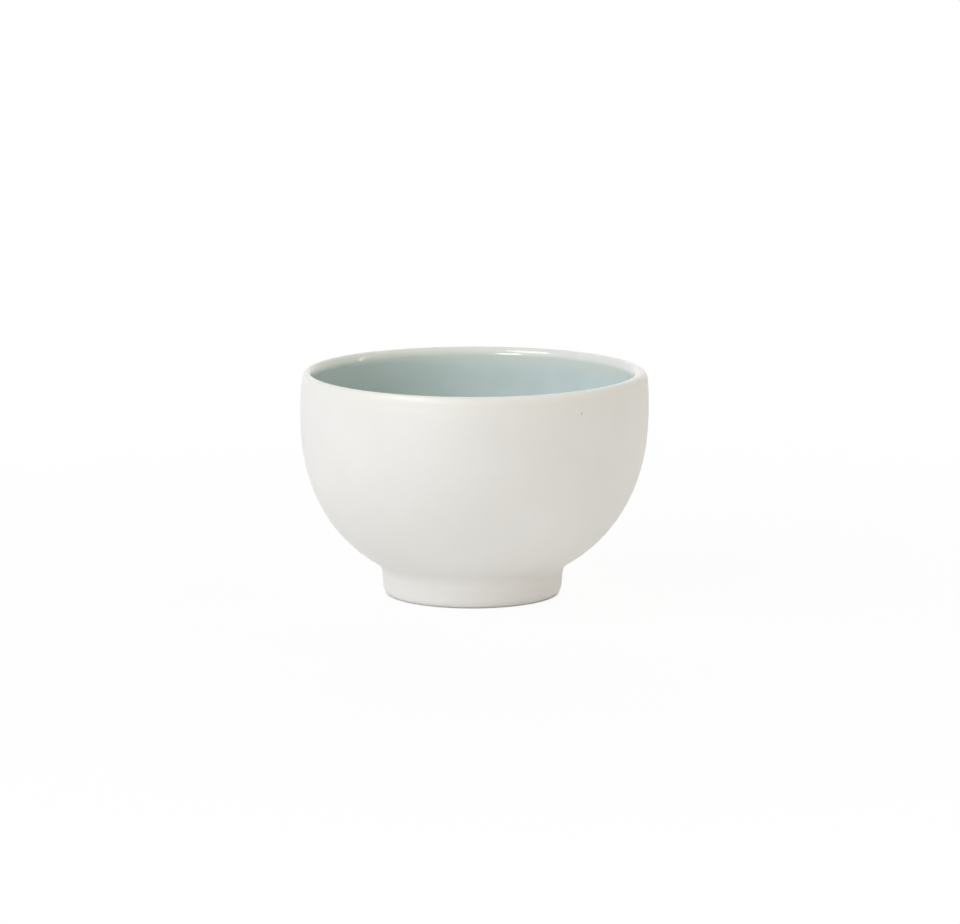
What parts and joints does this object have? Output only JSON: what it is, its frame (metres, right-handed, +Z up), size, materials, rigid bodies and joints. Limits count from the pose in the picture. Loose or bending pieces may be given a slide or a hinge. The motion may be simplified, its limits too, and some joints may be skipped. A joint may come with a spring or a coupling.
{
  "type": "footed bowl",
  "caption": "Round-bellied ceramic bowl on a luted foot ring, with a rounded lip, a matte outside and a glossy glazed inside, for serving rice, soup or small dishes.",
  "frame": {"origin": "middle of the foot, on the table", "axes": "+Z up along the bowl's axis of revolution, out of its mouth; X and Y are any two level directions at a right angle"},
  "size_m": [0.115, 0.115, 0.074],
  "materials": {
    "bare_porcelain": "satin",
    "foot_porcelain": "matte",
    "blue_glaze": "gloss",
    "clear_glaze": "gloss"
  },
  "bodies": {
    "root": {"bowl_body": "bare_porcelain", "foot_ring": "foot_porcelain", "glaze_lining": "blue_glaze", "rim_glaze": "clear_glaze"}
  },
  "joints": []
}
